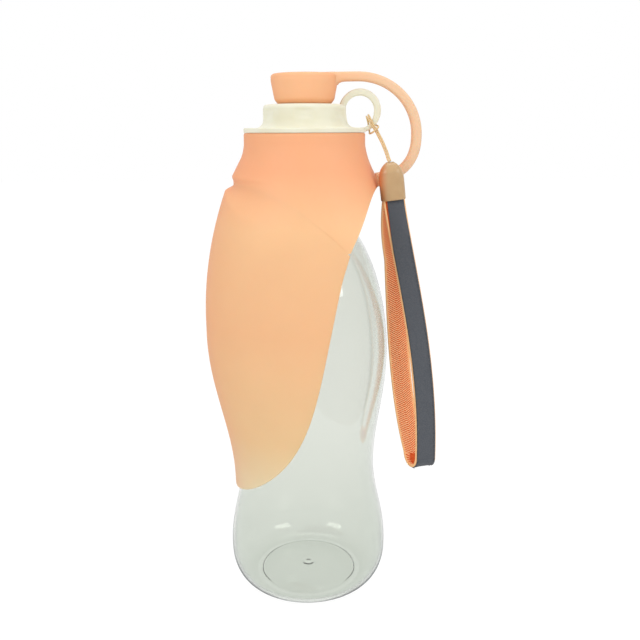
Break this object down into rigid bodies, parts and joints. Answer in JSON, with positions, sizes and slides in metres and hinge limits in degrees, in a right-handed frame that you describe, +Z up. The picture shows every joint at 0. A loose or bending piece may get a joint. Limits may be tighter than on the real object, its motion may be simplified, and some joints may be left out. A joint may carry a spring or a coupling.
{
  "type": "pet travel water bottle",
  "caption": "Squeezable clear travel bottle with a screw lid and spout, a leaf-shaped soft bowl that folds out from the side, a tethered stopper and a wrist strap.",
  "frame": {"origin": "centre of the bottle's foot, on the plane the bottle stands on", "axes": "+Z up along the bottle's axis, +X towards the wrist strap, -Y to the front of the pictured view"},
  "size_m": [0.1084, 0.082, 0.2463],
  "materials": {
    "clear_plastic": "clear gloss",
    "gasket_rubber": "matte",
    "lid_plastic": "satin",
    "silicone": "matte silicone",
    "cord_fibre": "braided cord",
    "bell_plastic": "satin",
    "webbing_fabric": "woven webbing",
    "facing_fabric": "fine rib ribbon"
  },
  "bodies": {
    "bottle": {"bottle": "clear_plastic"},
    "seal": {"lid_gasket": "gasket_rubber"},
    "lid": {"lid": "lid_plastic", "bowl_collar": "silicone", "tether": "silicone"},
    "leaf": {"leaf_bowl": "silicone"},
    "stopper": {"stopper": "silicone"},
    "strap_cord": {"wrist_cord": "cord_fibre"},
    "strap": {"cord_knot": "cord_fibre", "strap_bell": "bell_plastic", "strap_webbing": "webbing_fabric", "strap_facing": "facing_fabric"}
  },
  "joints": [
    {"name": "lid_rise", "type": "slide", "parent": "bottle", "child": "seal", "axis": [0, 0, 1], "range_m": [0, 0.005]},
    {"name": "lid_turn", "type": "hinge", "parent": "seal", "child": "lid", "pos_m": [0, 0, 0.2], "axis": [0, 0, 1], "range_deg": [0, 450]},
    {"name": "leaf_fold", "type": "hinge", "parent": "lid", "child": "leaf", "pos_m": [-0.035, 0, 0.1974], "axis": [0, 1, 0], "range_deg": [0, 150]},
    {"name": "stopper_pull", "type": "slide", "parent": "lid", "child": "stopper", "axis": [0, 0, 1], "range_m": [0, 0.016], "deforming": ["tether"]},
    {"name": "strap_swing", "type": "hinge", "parent": "lid", "child": "strap_cord", "pos_m": [0.0246, 0, 0.2297], "axis": [0, -1, 0], "range_deg": [0, 60]},
    {"name": "strap_sway", "type": "hinge", "parent": "strap_cord", "child": "strap", "pos_m": [0.0371, -0.0134, 0.208], "axis": [-1, 0, 0], "range_deg": [0, 60]}
  ],
  "couplings": [
    {"joint": "lid_rise", "follows": "lid_turn", "m_per_rad": 0.00063662}
  ]
}
